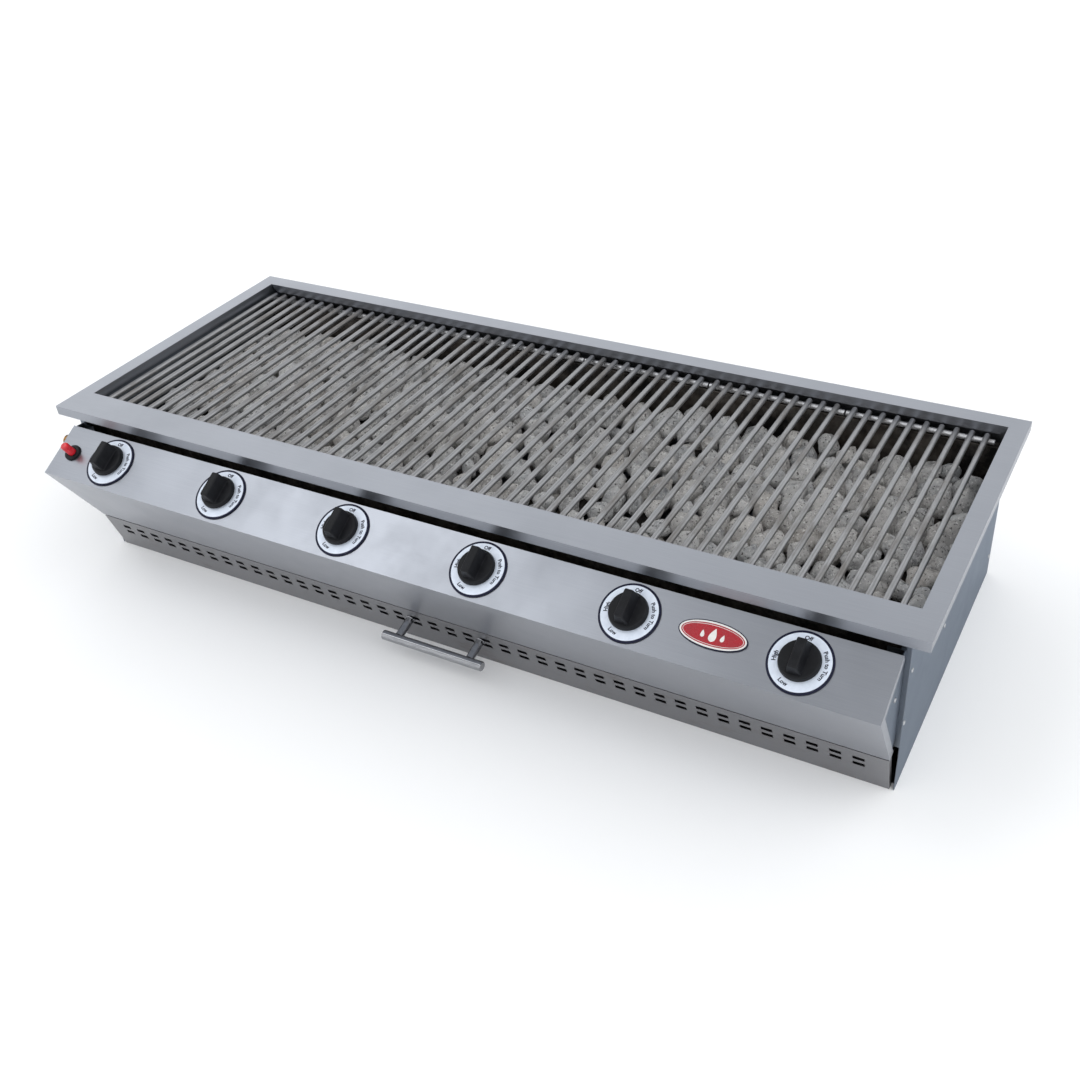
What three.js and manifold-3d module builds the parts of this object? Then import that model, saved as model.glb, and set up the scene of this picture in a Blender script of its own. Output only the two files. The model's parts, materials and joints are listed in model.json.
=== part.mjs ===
// Built-in gas charbroiler grill: a stainless drop-in frame over a firebox with lava rock,
// six burners with push-and-turn valves behind a sloped control panel, and a drip tray below.
// Millimetres. X runs along the grill, Y from front to back, Z up. The origin is at floor level
// in the middle of the outline.
import * as THREE from 'three';
import { mergeVertices } from 'three/addons/utils/BufferGeometryUtils.js';
import Module from 'manifold-3d';

const wasm = await Module();
wasm.setup();

// ---- Driving dimensions -------------------------------------------------------------------

const SHEET = 1.2; // stainless sheet
const GAP = 0.3; // left between pieces that touch
const HEIGHT = 252;

const FRAME = { halfLength: 650, front: -206, back: 279 };
const BORDER = { side: 25, front: 51, back: 26 }; // width of the frame's flat top
const LIP = { height: 14, inward: 8 }; // turned-down outer edge and its return
const FLANGE_HEIGHT = 13; // turned-down inner edge

const BODY = { halfLength: 627.7, front: -191, back: 267 };
const BODY_TOP = HEIGHT - SHEET - GAP;

// The front is three folded faces, given as a direction in the YZ plane and a length.
const PANEL_TOP = [-206.4, 225];
const KNOB_FACE = { angle: 208.2, length: 82.4 };
const SKIRT_FACE = { angle: -60.1, length: 136.2 };
const VENT_FACE = { angle: -73.9, length: 68.4 };
const PANEL_HALF_LENGTH = 623;
const PANEL_FLANGE = 12; // depth of the panel's end flanges
const RETURN = 10; // usual width of a folded stiffening edge
const TRAY_FRONT_DROP = 2; // gap between control panel and tray front

const BURNER_COUNT = 6;
const BURNER_PITCH = 208;
const BURNER = { radius: 16, wall: 1.4, z: 136, front: -196, back: 235 };
const KNOB_DOWN_FACE = 40.2; // knob centre below the panel's top edge
const IGNITER = { x: -594, downFace: 41.8 };

const DIAL = { radius: 38, hole: 9, thickness: 1.5 };
const KNOB = { base: 5.2, skirtRadius: 24, skirtTop: 12 };
const GRIP = { rootHalf: 9.6, topHalf: 5.5, top: 30.5, nose: 18.4, tail: -17 };
const STEM = { radius: 4, outside: 18, inside: 33 };
const VALVE = { radius: 12, start: 12, end: 68, inletAt: 25, noseRadius: 6, boreDepth: 38 };
const MANIFOLD = { radius: 10.7, offset: 24, left: -626, right: 606 };
const JET = { z: BURNER.z, radius: 4, back: -184 };

const ROD = { radius: 4, perGrate: 10, pitch: 20.2, front: -152, back: 251 };
const GRATE = { pitch: 207, shift: -8, drop: 13 }; // drop: rod tops below the frame's top
const ROD_AXIS = HEIGHT - GRATE.drop - ROD.radius;

// Round bars of the rods' stock, welded under their ends. The overhang is past the outer rods.
const CROSSBAR = { inset: 3, overhang: 11.6, outermostOverhang: 7.6, weld: 0.8 };
const CROSSBAR_AXIS = ROD_AXIS - 2 * ROD.radius + CROSSBAR.weld;
const SEAT_HEIGHT = CROSSBAR_AXIS - ROD.radius - GAP; // top of the grates' ledges

const LINER = { front: -146, back: 243, bottom: 154, topLeg: 14, bottomLeg: 15 };
const ROCKS = { halfLength: 620, top: 190, bump: 7 };

const TRAY = { halfWidth: 600, front: -183, back: 240, floor: 6, rimTop: 64.6, rim: 12 };
const SLOT = { columns: 42, pitch: 28.56, width: 14.6, height: 6.5, rows: [16.6, 29.1] };
const HANDLE = {
  x: 5,
  postX: 57.1,
  postRadius: 6,
  barRadius: 6.8,
  barHalfLength: 80,
  reach: 35.5,
  downFace: 22,
};

// ---- Colours ------------------------------------------------------------------------------

const material = (color, roughness, metalness) =>
  new THREE.MeshStandardMaterial({ color, roughness, metalness });

const STAINLESS = material(0xb4b6ba, 0.35, 1);
const HEATED_STEEL = material(0x4a4745, 0.6, 0.9);
const PLATED_STEEL = material(0x8f9499, 0.45, 1);
const POLISHED_STEEL = material(0xc8cacd, 0.15, 1);
const BRASS = material(0xb08d4a, 0.35, 1);
const BLACK_PLASTIC = material(0x15161a, 0.4, 0);
const RED_PLASTIC = material(0xc01622, 0.35, 0);
const WHITE_ENAMEL = material(0xdfe6f0, 0.4, 0);
const BADGE_RED = material(0xa81d28, 0.35, 0.2);
const ROCK = material(0x77736f, 0.95, 0);

// ---- Solids -------------------------------------------------------------------------------

function solidFrom(geometry) {
  const bare = geometry.clone();
  for (const name of Object.keys(bare.attributes)) {
    if (name !== 'position') bare.deleteAttribute(name);
  }
  const welded = mergeVertices(bare, 1e-4);
  const corners = welded.getIndex().array;
  const triangles = [];
  for (let i = 0; i < corners.length; i += 3) {
    const [a, b, c] = corners.slice(i, i + 3);
    if (a !== b && b !== c && c !== a) triangles.push(a, b, c);
  }
  const vertProperties = Float32Array.from(welded.getAttribute('position').array);
  return new wasm.Manifold(
    new wasm.Mesh({ numProp: 3, vertProperties, triVerts: Uint32Array.from(triangles) }),
  );
}

function geometryFrom(solid) {
  const mesh = solid.getMesh();
  const geometry = new THREE.BufferGeometry();
  geometry.setAttribute('position', new THREE.BufferAttribute(mesh.vertProperties, 3));
  geometry.setIndex(new THREE.BufferAttribute(mesh.triVerts, 1));
  geometry.computeVertexNormals();
  return geometry;
}

const sum = (pieces) => pieces.map(solidFrom).reduce((whole, piece) => whole.add(piece));
const join = (...pieces) => geometryFrom(sum(pieces));
const cut = (piece, ...tools) => geometryFrom(solidFrom(piece).subtract(sum(tools)));

function box([x0, x1], [y0, y1], [z0, z1]) {
  const size = [x1 - x0, y1 - y0, z1 - z0].map(Math.abs);
  const middle = [(x0 + x1) / 2, (y0 + y1) / 2, (z0 + z1) / 2];
  return new THREE.BoxGeometry(...size).translate(...middle);
}

// A round bar between two points.
function bar(radius, start, end, sides = 16) {
  const from = new THREE.Vector3(...start);
  const path = new THREE.Vector3(...end).sub(from);
  const geometry = new THREE.CylinderGeometry(radius, radius, path.length(), sides);
  const turn = new THREE.Quaternion().setFromUnitVectors(
    new THREE.Vector3(0, 1, 0),
    path.clone().normalize(),
  );
  return geometry.applyQuaternion(turn).translate(...from.addScaledVector(path, 0.5).toArray());
}

const shapeOf = (points) => new THREE.Shape(points.map(([u, v]) => new THREE.Vector2(u, v)));

const extrude = (shape, depth) =>
  new THREE.ExtrudeGeometry(shape, { depth, bevelEnabled: false, curveSegments: 14 });

// An outline in the YZ plane, extruded along X.
function prismX(points, x0, x1) {
  const axes = new THREE.Matrix4().makeBasis(
    new THREE.Vector3(0, 1, 0),
    new THREE.Vector3(0, 0, 1),
    new THREE.Vector3(1, 0, 0),
  );
  return extrude(shapeOf(points), Math.abs(x1 - x0))
    .applyMatrix4(axes)
    .translate(Math.min(x0, x1), 0, 0);
}

// A rectangle with a rectangular hole, lying flat.
function ring(outer, inner, [z0, z1]) {
  const rectangle = ({ halfLength, front, back }) => [
    [-halfLength, front],
    [halfLength, front],
    [halfLength, back],
    [-halfLength, back],
  ];
  const shape = shapeOf(rectangle(outer));
  shape.holes.push(new THREE.Path(rectangle(inner).map(([x, y]) => new THREE.Vector2(x, y))));
  return extrude(shape, z1 - z0).translate(0, 0, z0);
}

const grown = ({ halfLength, front, back }, by) => ({
  halfLength: halfLength + by,
  front: front - by,
  back: back + by,
});

// The outline of a folded sheet: one side follows the points, the other lies to their left.
function folded(points, thickness = SHEET) {
  const direction = (a, b) => new THREE.Vector2(b[0] - a[0], b[1] - a[1]).normalize();
  const inner = points.map((point, i) => {
    const before = direction(points[Math.max(i - 1, 0)], points[Math.max(i, 1)]);
    const last = points.length - 1;
    const after = direction(points[Math.min(i, last - 1)], points[Math.min(i + 1, last)]);
    const stretch = thickness / (1 + before.dot(after));
    return [
      point[0] - stretch * (before.y + after.y),
      point[1] + stretch * (before.x + after.x),
    ];
  });
  return [...points, ...inner.reverse()];
}

// ---- The folded front ---------------------------------------------------------------------

const radians = THREE.MathUtils.degToRad;
const travel = ([y, z], angle, length) => [
  y + length * Math.cos(radians(angle)),
  z + length * Math.sin(radians(angle)),
];

const PANEL_NOSE = travel(PANEL_TOP, KNOB_FACE.angle, KNOB_FACE.length);
const PANEL_FOOT = travel(PANEL_NOSE, SKIRT_FACE.angle, SKIRT_FACE.length);
const TRAY_TOP = travel(PANEL_FOOT, VENT_FACE.angle, TRAY_FRONT_DROP);
const TRAY_FOOT = travel(TRAY_TOP, VENT_FACE.angle, VENT_FACE.length);

// Local axes on a face: X along the grill, Y up the face, Z out of it.
function faceMatrix(top, angle, x, downFace) {
  const [y, z] = travel(top, angle, downFace);
  const up = new THREE.Vector3(0, -Math.cos(radians(angle)), -Math.sin(radians(angle)));
  const along = new THREE.Vector3(1, 0, 0);
  const out = new THREE.Vector3().crossVectors(along, up);
  return new THREE.Matrix4().makeBasis(along, up, out).setPosition(x, y, z);
}

const knobMatrix = (x) => faceMatrix(PANEL_TOP, KNOB_FACE.angle, x, KNOB_DOWN_FACE);
const burnerX = (index) => (index - (BURNER_COUNT - 1) / 2) * BURNER_PITCH;
const burners = Array.from({ length: BURNER_COUNT }, (_, index) => index);

// ---- Casing -------------------------------------------------------------------------------

const OPENING = {
  halfLength: FRAME.halfLength - BORDER.side,
  front: FRAME.front + BORDER.front,
  back: FRAME.back - BORDER.back,
};

function topFrame() {
  const underside = HEIGHT - SHEET;
  const lipBottom = HEIGHT - LIP.height;
  return join(
    ring(FRAME, OPENING, [underside, HEIGHT]),
    ring(FRAME, grown(FRAME, -SHEET), [lipBottom, HEIGHT]),
    ring(FRAME, grown(FRAME, -LIP.inward), [lipBottom, lipBottom + SHEET]),
    ring(grown(OPENING, SHEET), OPENING, [HEIGHT - FLANGE_HEIGHT, HEIGHT]),
  );
}

const WALL_INSIDE = BODY.halfLength - SHEET - GAP; // where cross pieces end
const FLANGE_START = 72; // the side panels' front flanges begin above the tray front
const FOOT = 20; // width of the sheet folded in along the floor
const SIDE_FLANGE = 12;

function sidePanel(side) {
  const outside = side * BODY.halfLength;
  const inward = (width) => [outside - side * width, outside];
  return join(
    box(inward(SHEET), [BODY.front, BODY.back], [0, BODY_TOP]),
    box(inward(FOOT), [BODY.front + RETURN + 1, BODY.back - FOOT - 2], [0, SHEET]),
    box(inward(SIDE_FLANGE), [BODY.front, BODY.front + SHEET], [FLANGE_START, BODY_TOP]),
  );
}

const grateX = (index) => (index - (BURNER_COUNT - 1) / 2) * GRATE.pitch + GRATE.shift;
const rodX = (index) => (index - (ROD.perGrate - 1) / 2) * ROD.pitch;

const TAIL_PIN = { radius: 4, hole: 5, beyondWall: 4 }; // locates a burner in the back panel

function backPanel() {
  const wall = [BODY.back - SHEET, BODY.back];
  const through = [wall[0] - 1, wall[1] + 1];
  const pinHoles = burners.map((index) =>
    bar(
      TAIL_PIN.hole,
      [burnerX(index), through[0], BURNER.z],
      [burnerX(index), through[1], BURNER.z],
      8,
    ),
  );
  const sheet = join(
    box([-WALL_INSIDE, WALL_INSIDE], wall, [0, BODY_TOP]),
    box([-TRAY.halfWidth, TRAY.halfWidth], [BODY.back - FOOT, BODY.back], [0, SHEET]),
  );
  return cut(sheet, ...pinHoles);
}

const FIREBOX_FRONT = { y: BODY.front + 15, bottom: 70, holeRadius: BURNER.radius + 4 };

function fireboxFrontPanel() {
  const wall = [FIREBOX_FRONT.y, FIREBOX_FRONT.y + SHEET];
  const holes = burners.map((index) => {
    const x = burnerX(index);
    return bar(FIREBOX_FRONT.holeRadius, [x, wall[0] - 1, BURNER.z], [x, wall[1] + 1, BURNER.z], 12);
  });
  return cut(box([-WALL_INSIDE, WALL_INSIDE], wall, [FIREBOX_FRONT.bottom, BODY_TOP]), ...holes);
}

// A ledge for the cooking grates, a wall that holds the rocks in, and a ledge for the rock grate.
function fireboxLiner(wallY, outward) {
  const points = [
    [wallY - outward * LINER.bottomLeg, LINER.bottom],
    [wallY, LINER.bottom],
    [wallY, SEAT_HEIGHT],
    [wallY + outward * LINER.topLeg, SEAT_HEIGHT],
  ];
  return join(prismX(folded(points, -outward * SHEET), -WALL_INSIDE, WALL_INSIDE));
}

const PANEL_END_NOTCH = 4; // the panel's folded edges stop short of its ends
const STEM_HOLE = 6.5;
const DRILL = 4; // half the length of a tool that cuts a hole in a sheet

function controlPanel() {
  const foldLimit = PANEL_HALF_LENGTH - PANEL_END_NOTCH;
  const face = [PANEL_TOP, PANEL_NOSE, PANEL_FOOT];
  const withReturns = [
    travel(PANEL_TOP, -90, RETURN),
    ...face,
    travel(PANEL_FOOT, 0, RETURN),
  ];
  const endFlange = folded(face, PANEL_FLANGE);
  const shell = join(
    prismX(folded(face), -PANEL_HALF_LENGTH, PANEL_HALF_LENGTH),
    prismX(folded(withReturns), -foldLimit, foldLimit),
    prismX(endFlange, -PANEL_HALF_LENGTH, -PANEL_HALF_LENGTH + SHEET),
    prismX(endFlange, PANEL_HALF_LENGTH - SHEET, PANEL_HALF_LENGTH),
  );
  const through = (radius) => bar(radius, [0, 0, -DRILL], [0, 0, DRILL], 12);
  const stemHoles = burners.map((index) =>
    through(STEM_HOLE).applyMatrix4(knobMatrix(burnerX(index))),
  );
  return cut(shell, ...stemHoles, through(IGNITER_HOLE_RADIUS).applyMatrix4(igniterMatrix));
}

const BRACKET = {
  z: [87, 222], // where the plate meets the body
  flange: 21,
  flangeZ: [90, 220],
  bodyGap: 0.4,
  panelGap: 0.5,
  pipeGap: 2,
};

// Wing plate between the end of the control panel and the front edge of the body.
function panelBracket(side) {
  const outside = side * (PANEL_HALF_LENGTH - SHEET - GAP);
  const inside = outside - side * SHEET;
  const faces = folded([PANEL_TOP, PANEL_NOSE, PANEL_FOOT], SHEET + BRACKET.panelGap);
  const [foot, nose, top] = faces.slice(3);
  const bodyFront = BODY.front - BRACKET.bodyGap;
  const outline = [top, nose, foot, ...BRACKET.z.map((z) => [bodyFront, z])];
  const plate = join(
    prismX(outline, outside, inside),
    box(
      [outside, outside - side * BRACKET.flange],
      [bodyFront - SHEET, bodyFront],
      BRACKET.flangeZ,
    ),
  );
  const [pipeY, pipeZ] = MANIFOLD_AXIS;
  const pipeHole = bar(
    MANIFOLD.radius + BRACKET.pipeGap,
    [outside - DRILL, pipeY, pipeZ],
    [inside + DRILL, pipeY, pipeZ],
    16,
  );
  return side < 0 ? cut(plate, pipeHole) : plate;
}

// ---- Gas train ----------------------------------------------------------------------------

const valvePoint = (depth) => {
  const [y, z] = travel(PANEL_TOP, KNOB_FACE.angle, KNOB_DOWN_FACE);
  return travel([y, z], KNOB_FACE.angle + 90, depth);
};
const MANIFOLD_AXIS = travel(valvePoint(VALVE.inletAt), KNOB_FACE.angle + 180, MANIFOLD.offset);

const PIPE_CAP = { radius: MANIFOLD.radius + 2, onPipe: 14, beyond: 4 };

function gasManifold() {
  const [y, z] = MANIFOLD_AXIS;
  const { radius, onPipe, beyond } = PIPE_CAP;
  return join(
    bar(MANIFOLD.radius, [MANIFOLD.left, y, z], [MANIFOLD.right, y, z], 20),
    bar(radius, [MANIFOLD.right - onPipe, y, z], [MANIFOLD.right + beyond, y, z], 8),
  );
}

const INLET = { hexRadius: 13.8, hexEnd: -638, noseRadius: 8.5, end: -648, bore: 5 };

function gasInletFitting() {
  const [y, z] = MANIFOLD_AXIS;
  const start = MANIFOLD.left - GAP;
  const body = join(
    bar(INLET.hexRadius, [INLET.hexEnd, y, z], [start, y, z], 6),
    bar(INLET.noseRadius, [INLET.end, y, z], [INLET.hexEnd + 1, y, z], 18),
  );
  return cut(body, bar(INLET.bore, [INLET.end - 1, y, z], [start - 4, y, z], 12));
}

const VALVE_NECK_RADIUS = 7;
const VALVE_NOSE_START = 2;
const ELBOW = { halfWidth: 9, front: 12, back: 8, below: 8, above: 6 };
const GAS_PASSAGE_RADIUS = 1.5;
const STEM_CLEARANCE = 0.4;

function gasValve() {
  const at = (depth) => [0, ...valvePoint(depth)];
  const neckEnd = MANIFOLD.offset - MANIFOLD.radius - GAP;
  const neck = travel(valvePoint(VALVE.inletAt), KNOB_FACE.angle + 180, neckEnd);
  const [endY, endZ] = valvePoint(VALVE.end);
  const body = join(
    bar(VALVE.radius, at(VALVE.start), at(VALVE.end), 10),
    bar(VALVE.noseRadius, at(VALVE_NOSE_START), at(VALVE.start + 1), 10),
    bar(VALVE_NECK_RADIUS, at(VALVE.inletAt), [0, ...neck], 8),
    box(
      [-ELBOW.halfWidth, ELBOW.halfWidth],
      [endY - ELBOW.front, endY + ELBOW.back],
      [JET.z - ELBOW.below, endZ + ELBOW.above],
    ),
    bar(JET.radius, [0, endY, JET.z], [0, JET.back, JET.z], 8),
  );
  const stemBore = bar(STEM.radius + STEM_CLEARANCE, at(0), at(VALVE.boreDepth), 10);
  const gasPassage = bar(GAS_PASSAGE_RADIUS, [0, endY, JET.z], [0, JET.back + 1, JET.z], 6);
  return cut(body, stemBore, gasPassage);
}

const valveStem = () => bar(STEM.radius, [0, 0, -STEM.inside], [0, 0, STEM.outside], 12);

// A tube, open at the air-mixer end, with a tail pin that locates it in the back panel.
function burner() {
  const at = (y) => [0, y, BURNER.z];
  const inner = BURNER.radius - BURNER.wall;
  const closed = join(
    bar(BURNER.radius, at(BURNER.front), at(BURNER.back), 14),
    bar(TAIL_PIN.radius, at(BURNER.back - 1), at(BODY.back + TAIL_PIN.beyondWall), 8),
  );
  return cut(closed, bar(inner, at(BURNER.front - 1), at(BURNER.back - 3), 14));
}

// ---- Controls -----------------------------------------------------------------------------

const IGNITER_BODY = { radius: 8, flange: 12.5, flangeTop: 3.5, depth: 34, bore: 6.4, boreDepth: 12 };
const IGNITER_HOLE_RADIUS = IGNITER_BODY.radius + 0.5;
const IGNITER_NUT = { radius: IGNITER_BODY.flange - 1, bottom: -7 };
const IGNITER_BUTTON = { radius: 6, bottom: -5, top: 22 };
const igniterMatrix = faceMatrix(PANEL_TOP, KNOB_FACE.angle, IGNITER.x, IGNITER.downFace);

function dialPlate() {
  const disc = bar(DIAL.radius, [0, 0, GAP], [0, 0, GAP + DIAL.thickness], 28);
  return cut(disc, bar(DIAL.hole, [0, 0, -DRILL], [0, 0, DRILL], 12));
}

const KNOB_BORE = { clearance: 0.3, beyondStem: 1.5 };

// A fin across the knob, narrowing towards its top, with the pointer at its nose.
function knobGrip() {
  const { rootHalf, topHalf, top, nose, tail } = GRIP;
  const buried = KNOB.base + 2;
  const right = [[rootHalf, buried], [rootHalf, KNOB.skirtTop], [topHalf, top]];
  const left = right.map(([across, out]) => [-across, out]).reverse();
  return extrude(shapeOf([...right, ...left]), nose - tail)
    .rotateX(Math.PI / 2)
    .translate(0, nose, 0);
}

function controlKnob() {
  const boreRadius = STEM.radius + KNOB_BORE.clearance;
  const boreEnd = STEM.outside + KNOB_BORE.beyondStem;
  const body = join(
    bar(KNOB.skirtRadius, [0, 0, KNOB.base], [0, 0, KNOB.skirtTop], 24),
    knobGrip(),
  );
  return cut(body, bar(boreRadius, [0, 0, 0], [0, 0, boreEnd], 12));
}

function igniterBody() {
  const { radius, flange, flangeTop, depth, bore, boreDepth } = IGNITER_BODY;
  const barrel = join(
    bar(radius, [0, 0, -depth], [0, 0, 1], 16),
    bar(flange, [0, 0, GAP], [0, 0, flangeTop], 24),
    bar(IGNITER_NUT.radius, [0, 0, IGNITER_NUT.bottom], [0, 0, -SHEET - GAP], 6),
  );
  return cut(barrel, bar(bore, [0, 0, -boreDepth], [0, 0, 10], 16));
}

const igniterButton = () =>
  bar(IGNITER_BUTTON.radius, [0, 0, IGNITER_BUTTON.bottom], [0, 0, IGNITER_BUTTON.top], 20);

// A plain oval plaque between the last two knobs.
const BADGE = { x: 416, downFace: 38, halfWidth: 42, halfHeight: 17, thickness: 1.6 };

function badge() {
  const outline = new THREE.Shape();
  outline.absellipse(0, 0, BADGE.halfWidth, BADGE.halfHeight, 0, 2 * Math.PI, false);
  return join(extrude(outline, BADGE.thickness).translate(0, 0, GAP));
}

// ---- Firebox ------------------------------------------------------------------------------

// The leftmost grate's outer bar ends are shorter, so that it lifts out through the frame.
function cookingGrate(index) {
  const rods = Array.from({ length: ROD.perGrate }, (_, rod) =>
    bar(ROD.radius, [rodX(rod), ROD.front, ROD_AXIS], [rodX(rod), ROD.back, ROD_AXIS], 6),
  );
  const outerRod = rodX(ROD.perGrate - 1);
  const leftOverhang = index === 0 ? CROSSBAR.outermostOverhang : CROSSBAR.overhang;
  const crossbar = (y) =>
    bar(
      ROD.radius,
      [-outerRod - leftOverhang, y, CROSSBAR_AXIS],
      [outerRod + CROSSBAR.overhang, y, CROSSBAR_AXIS],
      8,
    );
  return join(...rods, crossbar(ROD.front + CROSSBAR.inset), crossbar(ROD.back - CROSSBAR.inset));
}

const ROCK_GRATE_TOP = LINER.bottom + GAP + SHEET;

const ROCK_GRATE = { slots: 24, slotHalfWidth: 17, border: 22 };

function rockGrate() {
  const { slots, slotHalfWidth, border } = ROCK_GRATE;
  const pitch = (2 * ROCKS.halfLength) / slots;
  const openings = Array.from({ length: slots }, (_, index) => {
    const x = (index - (slots - 1) / 2) * pitch;
    return box(
      [x - slotHalfWidth, x + slotHalfWidth],
      [LINER.front + border, LINER.back - border],
      [0, HEIGHT],
    );
  });
  const plate = box(
    [-ROCKS.halfLength, ROCKS.halfLength],
    [LINER.front + 1, LINER.back - 1],
    [ROCK_GRATE_TOP - SHEET, ROCK_GRATE_TOP],
  );
  return cut(plate, ...openings);
}

const BED_DIVISIONS = [18, 6, 1];
const BUMPS = { alongX: 0.093, alongY: 0.071, skew: 0.013 }; // radians per millimetre

// The loose rocks as one bed with an uneven top.
function lavaRockBed() {
  const depth = LINER.back - LINER.front - 3;
  const height = ROCKS.top - ROCK_GRATE_TOP - GAP;
  const geometry = new THREE.BoxGeometry(2 * ROCKS.halfLength, depth, height, ...BED_DIVISIONS);
  geometry.translate(0, (LINER.front + LINER.back) / 2, ROCKS.top - height / 2);
  const position = geometry.getAttribute('position');
  for (let i = 0; i < position.count; i += 1) {
    const [x, y, z] = [position.getX(i), position.getY(i), position.getZ(i)];
    const wave = Math.sin(x * BUMPS.alongX) * Math.cos(y * BUMPS.alongY + x * BUMPS.skew);
    if (z > ROCKS.top - 1) position.setZ(i, z + ROCKS.bump * wave);
  }
  return join(geometry);
}

// ---- Drip tray ----------------------------------------------------------------------------

function dripTray() {
  const outer = { halfLength: TRAY.halfWidth, front: TRAY.front, back: TRAY.back };
  const x = [-TRAY.halfWidth, TRAY.halfWidth];
  const pan = cut(
    box(x, [TRAY.front, TRAY.back], [TRAY.floor, TRAY.rimTop]),
    box(
      [-TRAY.halfWidth + SHEET, TRAY.halfWidth - SHEET],
      [TRAY.front + SHEET, TRAY.back - SHEET],
      [TRAY.floor + SHEET, HEIGHT],
    ),
  );
  const rim = ring(grown(outer, TRAY.rim), grown(outer, -SHEET), [TRAY.rimTop - SHEET, TRAY.rimTop]);
  return join(pan, rim);
}

const TRAY_FRONT_HALF_LENGTH = 622;
const TRAY_FRONT_RETURN = 3;

function dripTrayFront() {
  const section = folded([
    [TRAY.front - TRAY_FRONT_RETURN, TRAY_TOP[1]],
    TRAY_TOP,
    TRAY_FOOT,
    travel(TRAY_FOOT, 0, RETURN),
  ]);
  const end = [TRAY_TOP, TRAY_FOOT, travel(TRAY_FOOT, 0, RETURN), travel(TRAY_TOP, 0, RETURN)];
  const half = TRAY_FRONT_HALF_LENGTH;
  const sheet = join(
    prismX(section, -half, half),
    prismX(end, -half, -half + SHEET),
    prismX(end, half - SHEET, half),
  );
  const slots = SLOT.rows.flatMap((down) =>
    Array.from({ length: SLOT.columns }, (_, column) => {
      const x = (column - (SLOT.columns - 1) / 2) * SLOT.pitch;
      return new THREE.BoxGeometry(SLOT.width, SLOT.height, 6).applyMatrix4(
        faceMatrix(TRAY_TOP, VENT_FACE.angle, x, down),
      );
    }),
  );
  return cut(sheet, ...slots);
}

const handleMatrix = (x) =>
  faceMatrix(TRAY_TOP, VENT_FACE.angle, HANDLE.x + x, HANDLE.downFace);

const handleBar = () =>
  bar(HANDLE.barRadius, [-HANDLE.barHalfLength, 0, HANDLE.reach], [HANDLE.barHalfLength, 0, HANDLE.reach]);

const handlePost = () =>
  bar(HANDLE.postRadius, [0, 0, GAP], [0, 0, HANDLE.reach - HANDLE.barRadius - GAP], 14);

const RUNNER = { fromFront: 18, fromBack: 12, height: 18, trayGap: 4, rimGap: 0.4 };

// An angle rail on the side panel that carries the tray's rim.
function trayRunner(side) {
  const top = TRAY.rimTop - SHEET - RUNNER.rimGap;
  const wall = side * WALL_INSIDE;
  const y = [BODY.front + RUNNER.fromFront, BODY.back - RUNNER.fromBack];
  return join(
    box([side * (TRAY.halfWidth + RUNNER.trayGap), wall], y, [top - SHEET, top]),
    box([wall - side * SHEET, wall], y, [top - RUNNER.height, top]),
  );
}

// ---- Assembly -----------------------------------------------------------------------------

const grill = new THREE.Group();

function place(name, geometry, look, matrix = new THREE.Matrix4()) {
  const mesh = new THREE.Mesh(geometry, look);
  mesh.name = name;
  mesh.applyMatrix4(matrix);
  grill.add(mesh);
}

const shifted = (x) => new THREE.Matrix4().makeTranslation(x, 0, 0);

place('top_frame', topFrame(), STAINLESS);
place('left_side_panel', sidePanel(-1), STAINLESS);
place('right_side_panel', sidePanel(1), STAINLESS);
place('back_panel', backPanel(), STAINLESS);
place('firebox_front_panel', fireboxFrontPanel(), HEATED_STEEL);
place('front_firebox_liner', fireboxLiner(LINER.front, -1), HEATED_STEEL);
place('rear_firebox_liner', fireboxLiner(LINER.back, 1), HEATED_STEEL);
place('control_panel', controlPanel(), STAINLESS);
place('left_panel_bracket', panelBracket(-1), STAINLESS);
place('right_panel_bracket', panelBracket(1), STAINLESS);
place('drip_tray', dripTray(), STAINLESS);
place('drip_tray_front', dripTrayFront(), STAINLESS);
place('tray_handle_bar', handleBar(), POLISHED_STEEL, handleMatrix(0));
place('tray_handle_post_left', handlePost(), POLISHED_STEEL, handleMatrix(-HANDLE.postX));
place('tray_handle_post_right', handlePost(), POLISHED_STEEL, handleMatrix(HANDLE.postX));
place('left_tray_runner', trayRunner(-1), STAINLESS);
place('right_tray_runner', trayRunner(1), STAINLESS);
place('gas_manifold', gasManifold(), PLATED_STEEL);
place('gas_inlet_fitting', gasInletFitting(), BRASS);
place('igniter_body', igniterBody(), BLACK_PLASTIC, igniterMatrix);
place('igniter_button', igniterButton(), RED_PLASTIC, igniterMatrix);
place('rock_grate', rockGrate(), HEATED_STEEL);
place('lava_rock_bed', lavaRockBed(), ROCK);
place('badge', badge(), BADGE_RED, faceMatrix(PANEL_TOP, KNOB_FACE.angle, BADGE.x, BADGE.downFace));

for (const index of burners) {
  const number = index + 1;
  const x = burnerX(index);
  place(`cooking_grate_${number}`, cookingGrate(index), PLATED_STEEL, shifted(grateX(index)));
  place(`burner_${number}`, burner(), HEATED_STEEL, shifted(x));
  place(`gas_valve_${number}`, gasValve(), BRASS, shifted(x));
  place(`valve_stem_${number}`, valveStem(), PLATED_STEEL, knobMatrix(x));
  place(`dial_plate_${number}`, dialPlate(), WHITE_ENAMEL, knobMatrix(x));
  place(`control_knob_${number}`, controlKnob(), BLACK_PLASTIC, knobMatrix(x));
}

export default grill;
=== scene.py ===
"""A built-in gas charbroiler grill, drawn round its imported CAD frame.

Metres in Blender, X along the grill, Y from front to back, Z up. Shapes are worked out in
millimetres and scaled as they become objects.
"""

import json
import math

import bmesh
import bpy
import numpy as np
from mathutils import Matrix, Vector, noise


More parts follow.
